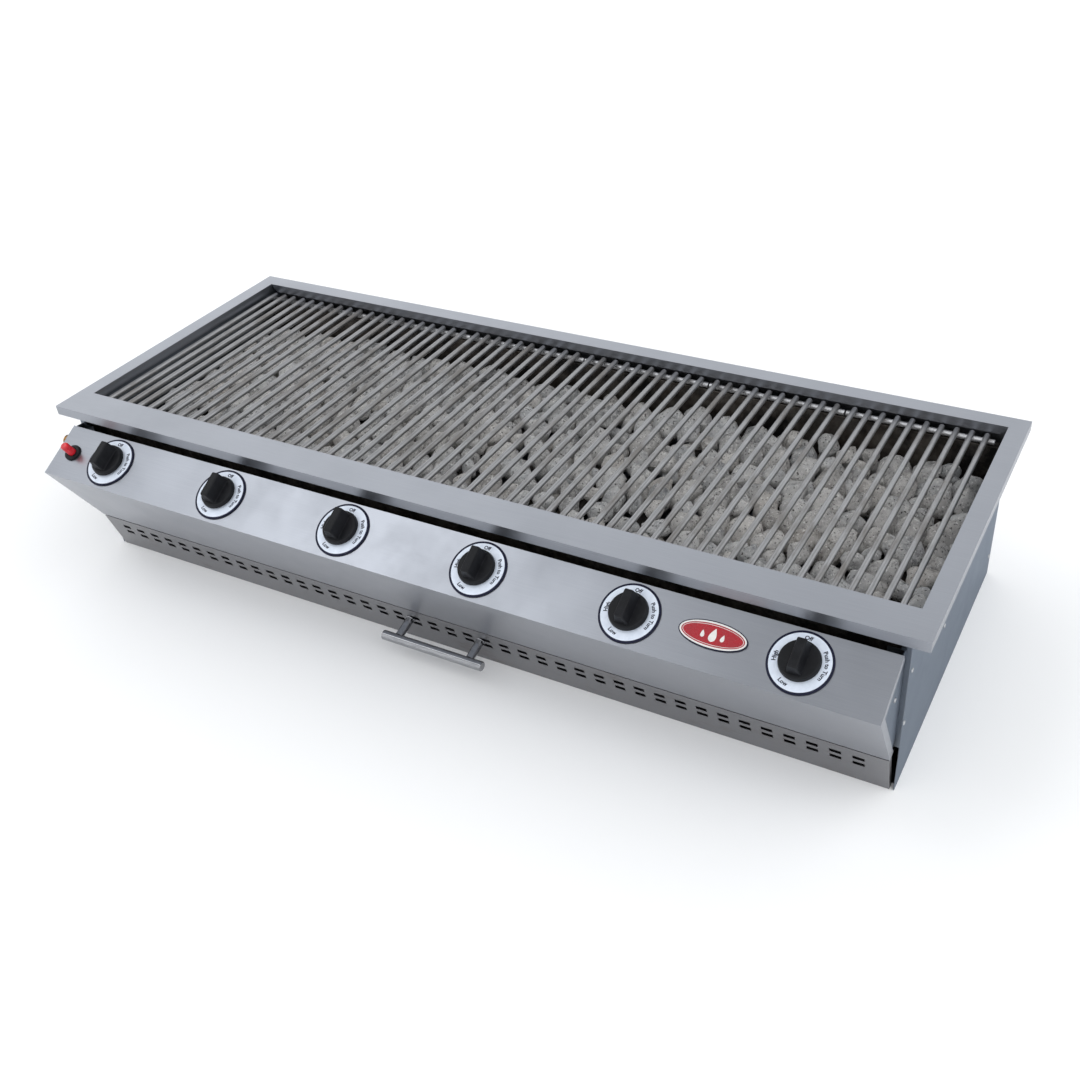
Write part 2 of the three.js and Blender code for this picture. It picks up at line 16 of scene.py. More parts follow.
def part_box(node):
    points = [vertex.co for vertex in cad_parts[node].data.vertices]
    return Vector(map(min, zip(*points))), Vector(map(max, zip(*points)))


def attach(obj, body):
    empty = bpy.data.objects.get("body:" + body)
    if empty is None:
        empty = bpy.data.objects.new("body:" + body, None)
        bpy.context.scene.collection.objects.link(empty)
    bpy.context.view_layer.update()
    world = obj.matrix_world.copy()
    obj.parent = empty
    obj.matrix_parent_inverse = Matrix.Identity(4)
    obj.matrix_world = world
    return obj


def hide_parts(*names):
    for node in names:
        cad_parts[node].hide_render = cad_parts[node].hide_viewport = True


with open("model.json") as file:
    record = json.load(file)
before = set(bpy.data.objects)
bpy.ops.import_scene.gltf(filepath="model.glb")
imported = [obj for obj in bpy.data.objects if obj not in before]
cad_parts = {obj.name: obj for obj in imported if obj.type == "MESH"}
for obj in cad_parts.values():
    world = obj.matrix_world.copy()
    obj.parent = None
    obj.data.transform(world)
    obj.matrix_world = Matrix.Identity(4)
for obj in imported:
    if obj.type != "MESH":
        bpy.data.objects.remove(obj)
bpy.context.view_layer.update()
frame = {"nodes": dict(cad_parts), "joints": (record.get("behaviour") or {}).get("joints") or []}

MM = 0.001
random = np.random.default_rng(620)

SHEET = 1.2
BURNERS = 6

JOINTS = {joint["name"]: joint for joint in frame["joints"]}


# ---- Materials ----------------------------------------------------------------------------


def add(tree, kind, inputs=None, **settings):
    """A shader node with its settings and inputs; an input is a number, a colour or a socket."""
    node = tree.nodes.new("ShaderNode" + kind)
    for name, value in settings.items():
        setattr(node, name, value)
    for name, value in (inputs or {}).items():
        if isinstance(value, bpy.types.NodeSocket):
            tree.links.new(value, node.inputs[name])
        else:
            node.inputs[name].default_value = value
    return node


def new_look(name, roughness=0.5, metallic=0.0, **others):
    """A material with its node tree and its main shader."""
    look = bpy.data.materials.new(name)
    look.use_nodes = True
    shader = look.node_tree.nodes["Principled BSDF"]
    shader.inputs["Roughness"].default_value = roughness
    shader.inputs["Metallic"].default_value = metallic
    for socket, value in others.items():
        shader.inputs[socket.replace("_", " ")].default_value = value
    return look, look.node_tree, shader.inputs


def place_vector(tree, scale):
    """Object coordinates, scaled along each axis."""
    where = add(tree, "TexCoord").outputs["Object"]
    return add(tree, "Mapping", {"Vector": where, "Scale": scale}).outputs["Vector"]


def clouds(tree, scale, detail=2.0, roughness=0.5):
    """Noise from 0 to 1. Scale is one number, or one along each axis for a grain."""
    if not isinstance(scale, tuple):
        scale = (scale, scale, scale)
    inputs = {
        "Vector": place_vector(tree, scale),
        "Scale": 1.0,
        "Detail": detail,
        "Roughness": roughness,
    }
    return add(tree, "TexNoise", inputs).outputs["Fac"]


def ramp(tree, value, start, end, low=0.0, high=1.0):
    """Value from start..end brought to low..high, and held at the ends."""
    inputs = {"Value": value, "From Min": start, "From Max": end, "To Min": low, "To Max": high}
    return add(tree, "MapRange", inputs).outputs["Result"]


def maths(tree, operation, first, second):
    node = add(tree, "Math", operation=operation)
    for socket, value in zip(node.inputs, (first, second)):
        if isinstance(value, bpy.types.NodeSocket):
            tree.links.new(value, socket)
        else:
            socket.default_value = value
    return node.outputs["Value"]


def mix(tree, factor, first, second, blend_type="MIX"):
    """Two colours, mixed by a factor."""
    node = add(tree, "Mix", data_type="RGBA", blend_type=blend_type)
    wanted = {"Factor_Float": factor, "A_Color": first, "B_Color": second}
    for socket in node.inputs:
        value = wanted.get(socket.identifier)
        if isinstance(value, bpy.types.NodeSocket):
            tree.links.new(value, socket)
        elif value is not None:
            socket.default_value = value if isinstance(value, float) else (*value, 1.0)
    return next(socket for socket in node.outputs if socket.identifier == "Result_Color")


def bump(tree, height, distance, normal=None):
    """A normal that follows the height, in metres at height 1."""
    inputs = {"Height": height, "Distance": distance, "Strength": 1.0}
    if normal is not None:
        inputs["Normal"] = normal
    return add(tree, "Bump", inputs).outputs["Normal"]


def join_to(tree, inputs, **sockets):
    for name, socket in sockets.items():
        tree.links.new(socket, inputs[name.replace("_", " ")])


WHITE = (1.0, 1.0, 1.0, 1.0)


def brushed_steel(name, grain, tint=(0.325, 0.340, 0.375), roughness=0.30, stain=0.0, edge=WHITE):
    """Stainless sheet with the fine grain of its finish, faint smudges and, at stain above 0,
    brownish marks. Grain is how much the noise is stretched along each axis. Edge tints the
    reflection at a glancing view."""
    look, tree, inputs = new_look(name, metallic=1.0, Specular_Tint=edge)
    texture = clouds(tree, tuple(1400.0 * g for g in grain), detail=3.0, roughness=0.6)
    smudges = clouds(tree, 9.0, detail=4.0, roughness=0.62)
    painted_shade_bands = clouds(tree, 3.5, detail=1.0)

    dull = ramp(tree, smudges, 0.42, 0.72, 0.0, 0.08)
    rough = maths(tree, "ADD", ramp(tree, texture, 0.3, 0.7, roughness - 0.02, roughness + 0.03), dull)

    dark = tuple(0.95 * c for c in tint)
    light = tuple(1.04 * c for c in tint)
    colour = mix(tree, ramp(tree, texture, 0.32, 0.68), dark, light)
    # Broad darker bands at random: painted shade, standing in for the uneven reflections along the sheet.
    colour = mix(tree, ramp(tree, painted_shade_bands, 0.35, 0.65, 0.0, 0.22), colour, tuple(0.86 * c for c in tint))
    if stain:
        spots = clouds(tree, (14.0, 14.0, 40.0), detail=5.0, roughness=0.7)
        marks = ramp(tree, spots, 0.55, 0.75, 0.0, stain)
        colour = mix(tree, marks, colour, (0.16, 0.125, 0.10))
        rough = maths(tree, "ADD", rough, maths(tree, "MULTIPLY", marks, 0.25))
    join_to(tree, inputs, Base_Color=colour, Roughness=rough, Normal=bump(tree, texture, 0.00001))
    return look


def heat_darkened_steel():
    """Firebox sheet, browned and sooted by the fire. Its very dark colour is partly heat darkening and
    partly painted shade for the shadowed inside of the firebox.
    """
    look, tree, inputs = new_look("heat_darkened_steel", metallic=0.85)
    soot = clouds(tree, 22.0, detail=6.0, roughness=0.65)
    blotches = clouds(tree, 60.0, detail=3.0)
    colour = mix(tree, ramp(tree, blotches, 0.35, 0.7), (0.075, 0.062, 0.052), (0.17, 0.155, 0.14))
    colour = mix(tree, ramp(tree, soot, 0.42, 0.62), colour, (0.018, 0.017, 0.017))
    rough = ramp(tree, soot, 0.35, 0.65, 0.38, 0.75)
    join_to(tree, inputs, Base_Color=colour, Roughness=rough, Normal=bump(tree, blotches, 0.0003))
    return look


def grate_rod(name, brightness=1.0):
    """Round bar, dulled by the fire, with brownish patches and drawing lines along Y. Brightness above 1
    makes a lighter copy of the same steel: a painted highlight.
    """
    look, tree, inputs = new_look(name, metallic=0.9)
    lines = clouds(tree, (900.0, 30.0, 900.0), detail=3.0)
    heat = clouds(tree, (45.0, 12.0, 45.0), detail=4.0, roughness=0.6)
    specks = clouds(tree, 420.0, detail=3.0, roughness=0.7)
    tones = ((0.25, 0.254, 0.262), (0.365, 0.365, 0.373))
    dark, light = (tuple(brightness * c for c in tone) for tone in tones)
    colour = mix(tree, ramp(tree, lines, 0.3, 0.7), dark, light)
    colour = mix(tree, ramp(tree, heat, 0.48, 0.68, 0.0, 0.75), colour, (0.165, 0.152, 0.14))
    colour = mix(tree, ramp(tree, specks, 0.62, 0.74, 0.0, 0.6), colour, (0.10, 0.095, 0.09))
    drawn, dulled = ramp(tree, lines, 0.3, 0.7, 0.34, 0.46), ramp(tree, heat, 0.45, 0.7, 0.0, 0.12)
    rough = maths(tree, "ADD", drawn, dulled)
    join_to(tree, inputs, Base_Color=colour, Roughness=rough, Normal=bump(tree, lines, 0.00005))
    return look


def polished_steel():
    look, tree, inputs = new_look("polished_steel", metallic=1.0)
    wear = clouds(tree, (60.0, 400.0, 400.0), detail=4.0, roughness=0.6)
    colour = mix(tree, ramp(tree, wear, 0.35, 0.7), (0.26, 0.265, 0.28), (0.36, 0.365, 0.38))
    join_to(tree, inputs, Base_Color=colour, Roughness=ramp(tree, wear, 0.3, 0.75, 0.07, 0.16))
    return look


def plated_pipe():
    look, tree, inputs = new_look("plated_pipe", metallic=1.0)
    spangle = clouds(tree, 130.0, detail=4.0, roughness=0.55)
    colour = mix(tree, ramp(tree, spangle, 0.35, 0.65), (0.30, 0.31, 0.32), (0.50, 0.51, 0.52))
    rough = ramp(tree, spangle, 0.3, 0.7, 0.32, 0.5)
    join_to(tree, inputs, Base_Color=colour, Roughness=rough, Normal=bump(tree, spangle, 0.00008))
    return look


def brass_fittings():
    look, tree, inputs = new_look("brass_fittings", metallic=1.0)
    tarnish = clouds(tree, 160.0, detail=5.0, roughness=0.6)
    colour = mix(tree, ramp(tree, tarnish, 0.38, 0.68), (0.70, 0.46, 0.20), (0.36, 0.21, 0.09))
    rough = ramp(tree, tarnish, 0.3, 0.7, 0.24, 0.46)
    join_to(tree, inputs, Base_Color=colour, Roughness=rough, Normal=bump(tree, tarnish, 0.00006))
    return look


def black_plastic():
    look, tree, inputs = new_look("black_plastic", IOR=1.5, Specular_IOR_Level=0.2)
    texture = clouds(tree, 1500.0, detail=2.0)
    wear = clouds(tree, 90.0, detail=4.0, roughness=0.6)
    colour = mix(tree, ramp(tree, wear, 0.4, 0.75), (0.004, 0.0045, 0.006), (0.009, 0.0095, 0.012))
    rough = ramp(tree, wear, 0.35, 0.7, 0.42, 0.54)
    join_to(tree, inputs, Base_Color=colour, Roughness=rough, Normal=bump(tree, texture, 0.00005))
    return look


def igniter_red():
    look, tree, inputs = new_look("igniter_red", IOR=1.5, Coat_Weight=0.3, Coat_Roughness=0.15)
    wear = clouds(tree, 260.0, detail=3.0)
    colour = mix(tree, ramp(tree, wear, 0.35, 0.7), (0.60, 0.010, 0.022), (0.43, 0.008, 0.018))
    join_to(tree, inputs, Base_Color=colour, Roughness=ramp(tree, wear, 0.3, 0.7, 0.26, 0.38))
    return look


def enamel(name, colour, shade, roughness, shine=0.5):
    """Printed enamel: one colour with a faint unevenness and a little dust."""
    look, tree, inputs = new_look(name, IOR=1.5, Specular_IOR_Level=shine)
    uneven = clouds(tree, 140.0, detail=4.0, roughness=0.6)
    tone = mix(tree, ramp(tree, uneven, 0.35, 0.75), colour, shade)
    join_to(tree, inputs, Base_Color=tone)
    join_to(tree, inputs, Roughness=ramp(tree, uneven, 0.3, 0.7, roughness, roughness + 0.12))
    return look


def lava_rock():
    """Grey to brownish stone, speckled light and dark. Each stone's own tone is in "stone"."""
    look, tree, inputs = new_look("lava_rock")
    own = add(tree, "Attribute", attribute_name="stone").outputs["Color"]
    parts = add(tree, "SeparateColor", {"Color": own}).outputs
    brightness, warmth = parts["Red"], parts["Green"]

    patches = clouds(tree, 55.0, detail=5.0, roughness=0.62)
    grit = clouds(tree, 520.0, detail=4.0, roughness=0.7)
    crystals = clouds(tree, 260.0, detail=6.0, roughness=0.75)
    pores = clouds(tree, 330.0, detail=2.0)

    cool = mix(tree, brightness, (0.24, 0.25, 0.265), (0.62, 0.63, 0.645))
    warm = mix(tree, brightness, (0.27, 0.235, 0.205), (0.64, 0.595, 0.55))
    colour = mix(tree, warmth, cool, warm)
    colour = mix(tree, ramp(tree, patches, 0.40, 0.66, 0.0, 0.70), colour, (0.70, 0.685, 0.66))
    colour = mix(tree, ramp(tree, patches, 0.44, 0.30, 0.0, 0.7), colour, (0.17, 0.165, 0.16))
    colour = mix(tree, ramp(tree, crystals, 0.55, 0.63, 0.0, 0.85), colour, (0.88, 0.87, 0.85))
    colour = mix(tree, ramp(tree, pores, 0.41, 0.30, 0.0, 0.9), colour, (0.045, 0.043, 0.042))

    relief = maths(tree, "ADD", maths(tree, "MULTIPLY", patches, 1.4), maths(tree, "MULTIPLY", grit, 0.5))
    relief = maths(tree, "ADD", relief, ramp(tree, pores, 0.27, 0.40, -0.6, 0.0))
    rough = ramp(tree, crystals, 0.4, 0.7, 0.94, 0.6)
    join_to(tree, inputs, Base_Color=colour, Roughness=rough, Normal=bump(tree, relief, 0.0011))
    return look


ALONG_X = (0.012, 1.0, 1.0)
ALONG_Y = (1.0, 0.012, 1.0)

STEEL = brushed_steel("stainless_casing", ALONG_X)
# A darker, bluer tint of the casing steel for the side panels, brackets and runners: painted shade. Its
# grain along Y and higher roughness are the sheet's own.
STEEL_SIDE_PAINTED_SHADE = brushed_steel(
    "stainless_side_painted_shade", ALONG_Y, tint=(0.20, 0.222, 0.255), roughness=0.38, edge=(0.66, 0.71, 0.78, 1.0)
)
STEEL_TRAY_FRONT = brushed_steel("stainless_tray_front", ALONG_X, tint=(0.25, 0.25, 0.262), stain=0.35)
HEAT_AND_SHADE_DARKENED = heat_darkened_steel()
ROD_STEEL = grate_rod("grate_rod")
# The crossbars are the rod steel made 1.9 times lighter: a painted highlight.
BAR_STEEL_PAINTED_HIGHLIGHT = grate_rod("grate_bar_painted_highlight", 1.9)
POLISHED = polished_steel()
PLATED = plated_pipe()
BRASS = brass_fittings()
BLACK = black_plastic()
RED = igniter_red()
DIAL_FACE = enamel("dial_enamel", (0.70, 0.76, 0.86), (0.60, 0.66, 0.76), 0.30)
DIAL_INK = enamel("dial_ink", (0.005, 0.006, 0.022), (0.009, 0.010, 0.030), 0.40, shine=0.18)
BADGE_RED = enamel("badge_enamel", (0.36, 0.012, 0.022), (0.28, 0.010, 0.018), 0.22)
BADGE_WHITE = enamel("badge_white", (0.74, 0.73, 0.71), (0.64, 0.63, 0.61), 0.28)
ROCK = lava_rock()


# ---- Shapes: (vertices in millimetres, faces) -----------------------------------------------


def moved(shape, matrix):
    vertices, faces = shape
    turned_matrix = np.array(matrix)
    return vertices @ turned_matrix[:3, :3].T + turned_matrix[:3, 3], faces


def shifted(shape, x=0.0, y=0.0, z=0.0):
    return moved(shape, Matrix.Translation((x, y, z)))


def merged(shapes):
    vertices, faces, start = [], [], 0
    for shape_vertices, shape_faces in shapes:
        vertices.append(shape_vertices)
        faces += [tuple(start + i for i in face) for face in shape_faces]
        start += len(shape_vertices)
    return np.concatenate(vertices), faces


def lathe(profile, sides=32):
    """A (radius, height) profile, from bottom to top, turned about Z. Radius 0 closes it."""
    vertices, rings = [], []
    for radius, height in profile:
        count = sides if radius > 0 else 1
        rings.append([len(vertices) + i for i in range(count)])
        for i in range(count):
            angle = 2 * math.pi * i / sides
            vertices.append((radius * math.cos(angle), radius * math.sin(angle), height))
    faces = []
    for low, high in zip(rings, rings[1:]):
        for i in range(sides):
            following = i + 1
            corners = [
                low[i % len(low)], low[following % len(low)],
                high[following % len(high)], high[i % len(high)],
            ]
            face = tuple(dict.fromkeys(corners))
            if len(face) > 2:
                faces.append(face)
    return np.array(vertices, float), faces


def rounded_rod(radius, length, edge, sides=24, steps=4):
    """A round bar along Z from 0, with rounded ends."""
    arc = [math.pi / 2 * i / steps for i in range(steps + 1)]
    low = [(radius - edge + edge * math.sin(a), edge - edge * math.cos(a)) for a in arc]
    high = [(r, length - h) for r, h in reversed(low)]
    return lathe([(0, 0), *low, *high, (0, length)], sides)


def prism(outline, bottom, top):
    """A flat outline, counterclockwise, given thickness along Z."""
    count = len(outline)
    vertices = [(x, y, bottom) for x, y in outline] + [(x, y, top) for x, y in outline]
    sides = [(i, (i + 1) % count, count + (i + 1) % count, count + i) for i in range(count)]
    caps = [tuple(reversed(range(count))), tuple(range(count, 2 * count))]
    return np.array(vertices, float), sides + caps


def ribbon(outer, inner, bottom, top):
    """The band between two outlines with equal counts, given thickness along Z."""
    count = len(outer)
    rings = [[(x, y, z) for x, y in line] for z in (bottom, top) for line in (outer, inner)]
    vertices = [point for ring in rings for point in ring]
    low_outer, low_inner, high_outer, high_inner = (k * count for k in range(4))
    faces = []
    for i in range(count):
        j = (i + 1) % count
        faces += [
            (low_outer + i, low_outer + j, high_outer + j, high_outer + i),
            (low_inner + j, low_inner + i, high_inner + i, high_inner + j),
            (high_outer + i, high_outer + j, high_inner + j, high_inner + i),
            (low_outer + j, low_outer + i, low_inner + i, low_inner + j),
        ]
    return np.array(vertices, float), faces


def block(size, centre=(0, 0, 0)):
    """A box with its middle at the given point."""
    x, y, z = (s / 2 for s in size)
    shape = prism([(-x, -y), (x, -y), (x, y), (-x, y)], -z, z)
    return shifted(shape, *centre)


def ellipse(half_width, half_height, count=48):
    angles = [2 * math.pi * i / count for i in range(count)]
    return [(half_width * math.cos(a), half_height * math.sin(a)) for a in angles]


ALONG = {
    "x": Matrix(((0, 0, 1, 0), (1, 0, 0, 0), (0, 1, 0, 0), (0, 0, 0, 1))),
    "y": Matrix(((1, 0, 0, 0), (0, 0, 1, 0), (0, -1, 0, 0), (0, 0, 0, 1))),
}


# ---- Objects --------------------------------------------------------------------------------


def mesh_of(name, shape):
    vertices, faces = shape
    mesh = bpy.data.meshes.new(name)
    mesh.from_pydata([tuple(v) for v in vertices * MM], [], faces)
    tidy = bmesh.new()
    tidy.from_mesh(mesh)
    bmesh.ops.recalc_face_normals(tidy, faces=tidy.faces)
    tidy.to_mesh(mesh)
    tidy.free()
    return mesh


def object_of(name, mesh):
    thing = bpy.data.objects.new(name, mesh)
    bpy.context.scene.collection.objects.link(thing)
    return thing


def settle(thing, body, replaced=()):
    """Puts a piece on its body, with the CAD nodes that it stands for."""
    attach(thing, body)
    if replaced:
        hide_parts(*replaced)
    return thing


def smooth(mesh, crease):
    """Smooth shading, broken at edges sharper than the crease, in degrees."""
    mesh.shade_smooth()
    mesh.set_sharp_from_angle(angle=math.radians(crease))


def piece(name, parts, body, replaced=(), crease=35, bevel=0.0):
    """One object from (shape, look) parts. Bevel rounds its sharp edges, in millimetres."""
    looks = list(dict.fromkeys(look for _, look in parts))
    mesh = mesh_of(name, merged([shape for shape, _ in parts]))
    for look in looks:
        mesh.materials.append(look)
    of_each_face = [looks.index(look) for (_, faces), look in parts for _ in faces]
    mesh.polygons.foreach_set("material_index", of_each_face)
    smooth(mesh, crease)
    thing = object_of(name, mesh)
    if bevel:
        round_edges(thing, bevel, "ANGLE")
    return settle(thing, body, replaced)


def round_edges(thing, width, limit):
    rounding = thing.modifiers.new("rounded", "BEVEL")
    rounding.width = width * MM
    rounding.segments = 4 if limit == "WEIGHT" else 2
    rounding.limit_method = limit
    rounding.angle_limit = math.radians(40)
    rounding.harden_normals = limit == "ANGLE"


def shape_of(mesh):
    """A mesh in metres as a shape in millimetres."""
    return np.array([v.co / MM for v in mesh.vertices]), [tuple(p.vertices) for p in mesh.polygons]


def applied(thing, operation, tools):
    """The mesh of an object with tools cut from it or joined to it. The tools are used up."""
    for tool in tools:
        change = thing.modifiers.new("change", "BOOLEAN")
        change.operation = operation
        change.solver = "EXACT"
        change.object = tool
    evaluated = thing.evaluated_get(bpy.context.evaluated_depsgraph_get())
    mesh = bpy.data.meshes.new_from_object(evaluated)
    thing.modifiers.clear()
    for tool in tools:
        bpy.data.objects.remove(tool)
    return mesh


def combined(base, tools, operation):
    """A shape mesh with other shapes cut away or joined on."""
    thing = object_of("base", mesh_of("base", base) if isinstance(base, tuple) else base)
    mesh = applied(thing, operation, [object_of("tool", mesh_of("tool", tool)) for tool in tools])
    bpy.data.objects.remove(thing)
    return mesh


# ---- Sheet metal from the CAD nodes ---------------------------------------------------------

FOLD_RADIUS = 1.3
INSIDE_SHARE = 0.3  # an inside fold's radius, as a share of the outside one
EDGE_SHARE = 0.14  # the same for the sheet's cut edges
LEAST_BREADTH = 2.5 * MM  # a narrower face is a cut edge of the sheet
LEAST_LENGTH = 30.0 * MM  # a shorter cut edge, such as a hole's, stays sharp
LEAST_FOLD = math.radians(25)  # a flatter edge isn't a fold
SAME_POINT = 2e-6  # metres: vertices closer than this are one
SAME_PLANE = math.radians(0.6)  # faces within this of each other are one flat face


def breadth(face, edge):
    """How far a face reaches from the line of one of its edges."""
    start = edge.verts[0].co
    along = (edge.verts[1].co - start).normalized()
    return max((v.co - start - (v.co - start).dot(along) * along).length for v in face.verts)


def weigh_edges(mesh, seams):
    """Cleans the mesh of a sheet part and says how much each of its edges is rounded.

    Seams are the X of flat cuts through holes: a face with a hole in it can't be rounded well.
    """
    work = bmesh.new()
    work.from_mesh(mesh)
    bmesh.ops.remove_doubles(work, verts=work.verts, dist=SAME_POINT)
    for x in seams:
        everything = [*work.verts, *work.edges, *work.faces]
        found = bmesh.ops.bisect_plane(work, geom=everything, plane_co=(x * MM, 0, 0), plane_no=(1, 0, 0))
        for item in found["geom_cut"]:
            if isinstance(item, bmesh.types.BMEdge):
                item.seam = True
    bmesh.ops.dissolve_limit(
        work, angle_limit=SAME_PLANE, verts=work.verts, edges=work.edges, delimit={"SEAM"}
    )
    weight = work.edges.layers.float.new("bevel_weight_edge")
    for edge in work.edges:
        if len(edge.link_faces) != 2 or edge.calc_face_angle() < LEAST_FOLD:
            continue
        if min(breadth(face, edge) for face in edge.link_faces) > LEAST_BREADTH:
            edge[weight] = 1.0 if edge.is_convex else INSIDE_SHARE
        elif edge.calc_length() > LEAST_LENGTH:
            edge[weight] = EDGE_SHARE
    work.to_mesh(mesh)
    work.free()


def node_mesh(name):
    """A copy of a CAD node's mesh without the shading normals stored in it."""
    mesh = frame["nodes"][name].data.copy()
    stored = mesh.attributes.get("custom_normal")
    if stored:
        mesh.attributes.remove(stored)
    return mesh


def from_node(name, look, body="casing", cuts=(), seams=()):
    """A CAD node with rounded folds, fine edges and its material, shaded flat like its faces."""
    mesh = node_mesh(name)
    if cuts:
        mesh = combined(mesh, cuts, "DIFFERENCE")
    mesh.materials.clear()
    mesh.materials.append(look)
    mesh.polygons.foreach_set("material_index", [0] * len(mesh.polygons))
    weigh_edges(mesh, seams)
    mesh.shade_flat()
    thing = object_of(name + "_sheet", mesh)
    round_edges(thing, FOLD_RADIUS, "WEIGHT")
    return settle(thing, body, [name])


def from_round_node(name, look, body="casing", bevel=0.0):
    """A turned CAD node, shaded smooth round its axis."""
    mesh = node_mesh(name)
    mesh.materials.clear()
    mesh.materials.append(look)
    work = bmesh.new()
    work.from_mesh(mesh)
    bmesh.ops.remove_doubles(work, verts=work.verts, dist=SAME_POINT)
    bmesh.ops.dissolve_limit(work, angle_limit=SAME_PLANE, verts=work.verts, edges=work.edges)
    work.to_mesh(mesh)
    work.free()
    smooth(mesh, 44)
    thing = object_of(name + "_finished", mesh)
    if bevel:
        round_edges(thing, bevel, "ANGLE")
    return settle(thing, body, [name])


def flange_reliefs():
    """What is cut from the inner flange at its rear corners, so that its fold could be made."""
    low, high = (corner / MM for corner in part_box("top_frame"))
    depth = 13.0
    side_border, back_border = 25.0, 26.0
    inner_back = high.y - back_border
    reliefs = []
    for side in (-1, 1):
        corner = side * (high.x - side_border)
        triangle = [(0, -2.4), (-side * 10.5, -depth - 1), (side * 1.0, -depth - 1), (side * 1.0, -2.4)]
        if side < 0:
            triangle.reverse()
        wedge = prism(triangle, -0.6, SHEET + 0.6)
        upright = Matrix(((1, 0, 0, corner), (0, 0, 1, inner_back), (0, 1, 0, high.z), (0, 0, 0, 1)))
        reliefs.append(moved(wedge, upright))
    return reliefs


def casing_sheets():
    from_node("top_frame", STEEL, cuts=flange_reliefs())
    knobs = [JOINTS[f"knob_{number}_turn"]["pos_m"][0] / MM for number in range(1, BURNERS + 1)]
    holes = [middle("igniter_body").x, *knobs]
    from_node("control_panel", STEEL, seams=holes)
    from_node("back_panel", STEEL)
    for side in ("left", "right"):
        from_node(f"{side}_side_panel", STEEL_SIDE_PAINTED_SHADE)
        from_node(f"{side}_panel_bracket", STEEL_SIDE_PAINTED_SHADE)
        from_node(f"{side}_tray_runner", STEEL_SIDE_PAINTED_SHADE)
    for name in ("firebox_front_panel", "front_firebox_liner", "rear_firebox_liner", "rock_grate"):
        from_node(name, HEAT_AND_SHADE_DARKENED)


def tray():
    from_node("drip_tray", STEEL, "drip_tray_unit")
    from_node("drip_tray_front", STEEL_TRAY_FRONT, "drip_tray_unit")


# ---- Faces of the control panel and the tray front --------------------------------------------


def facing(point, outward):
    """Local axes on a sloped face: X along the grill, Y up the face, Z out of it."""
    outward = Vector(outward).normalized()
    along = Vector((1, 0, 0))
    up = outward.cross(along)
    matrix = Matrix((along, up, outward)).transposed().to_4x4()
    matrix.translation = Vector(point)
    return matrix


def middle(node):
    low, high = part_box(node)
    return (low + high) / 2 / MM


OUT_OF_PANEL = Vector(JOINTS["knob_1_turn"]["axis"])
OUT_OF_TRAY = Vector((0, -0.9608, -0.2773))


def knob_place(number):
    return facing(Vector(JOINTS[f"knob_{number}_turn"]["pos_m"]) / MM, OUT_OF_PANEL)


# ---- Knobs and dials ------------------------------------------------------------------------

NOSE, TAIL = 18.4, -17.0  # how far the grip reaches from the axis, at its top edge
GRIP_ROOT = 9.6  # the half width where the grip meets the skirt
SKIRT_TOP = 12.0
GRIP_LEVELS = (  # height, half width, and how far the nose and the tail lie beyond the top edge
    (7.0, GRIP_ROOT, 1.4, 1.8),
    (SKIRT_TOP, GRIP_ROOT, 1.4, 1.8),
    (13.6, 8.5, 1.1, 1.6),
    (28.4, 5.8, 0.1, 0.2),
    (29.8, 5.3, -0.2, -0.5),
    (30.4, 4.5, -0.9, -1.6),
    (30.5, 3.8, -1.6, -2.6),
)


def grip():
    """The fin across a knob: sloping flanks, and rounded edges at the pointer and the tail."""
    rounding, steps = 1.8, 4
    vertices, count = [], 0
    for z, half, beyond_nose, beyond_tail in GRIP_LEVELS:
        nose, tail = NOSE + beyond_nose, TAIL - beyond_tail
        corners = ((half, tail, -90), (half, nose, 0), (-half, nose, 90), (-half, tail, 180))
        for x, y, start in corners:
            centre_x = x - math.copysign(rounding, x)
            centre_y = y - math.copysign(rounding, y)
            for i in range(steps + 1):
                angle = math.radians(start + 90 * i / steps)
                out_x, out_y = rounding * math.cos(angle), rounding * math.sin(angle)
                vertices.append((centre_x + out_x, centre_y + out_y, z))
        count = 4 * (steps + 1)
    last = (len(GRIP_LEVELS) - 1) * count
    faces = [tuple(reversed(range(count))), tuple(range(last, last + count))]
    for low in range(0, last, count):
        for i in range(count):
            j = (i + 1) % count
            faces.append((low + i, low + j, low + count + j, low + count + i))
    return np.array(vertices, float), faces


def knob_mesh():
    """A round skirt with the grip across it and the bore for the stem."""
    skirt = lathe(
        [
            (0, 5.2), (23.9, 5.2), (24.3, 5.5), (24.4, 6.0), (23.4, 10.4), (23.0, 11.3), (22.2, 11.9),
            (21.2, SKIRT_TOP), (14, 12.4), (0, 12.5),
        ],
        sides=64,
    )
    bore = lathe([(0, 5.0), (4.35, 5.0), (4.35, 19.4), (0, 19.4)], 24)
    solid = combined(skirt, [grip()], "UNION")
    return combined(solid, [bore], "DIFFERENCE")


def flame(height, width, lean):
    """The outline of a simple flame, upright on its own base."""
    steps = 14
    side = []
    for i in range(steps + 1):
        share = i / steps
        half = width / 2 * math.sin(math.pi * share**0.62) ** 0.9 if 0 < share < 1 else 0.0
        side.append((share * height, lean * share**2, half))
    right = [(x + half, y) for y, x, half in side]
    left = [(x - half, y) for y, x, half in reversed(side[1:-1])]
    return right + left


LETTER_SIZE = 6.8
WORD_RADIUS = 29.3
WORDS = (("Off", 0, True), ("High", -90, True), ("Low", -158, False), ("Push to Turn", 84, True))


